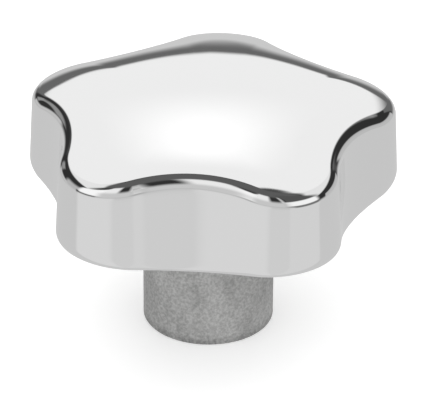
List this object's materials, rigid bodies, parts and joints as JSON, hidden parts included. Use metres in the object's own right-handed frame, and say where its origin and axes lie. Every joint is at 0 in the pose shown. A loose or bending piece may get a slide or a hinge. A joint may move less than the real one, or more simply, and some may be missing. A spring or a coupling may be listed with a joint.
{
  "type": "star knob",
  "caption": "Star-shaped clamping knob in polished cast aluminium: a low domed, lobed head on a plain round hub with a blind threaded hole, turned by hand to tighten a screw.",
  "frame": {"origin": "centre of the hub's machined face, where the knob's axis meets it", "axes": "+Z along the knob's axis from the hub's face to the crown of the dome; +Y through the middle of one lobe"},
  "size_m": [0.0386, 0.0373, 0.026],
  "materials": {
    "polished_aluminium": "mirror-polished on the dome and flank, shot-blasted as cast on the hub and underside"
  },
  "bodies": {
    "root": {"star_knob": "polished_aluminium"}
  },
  "joints": []
}
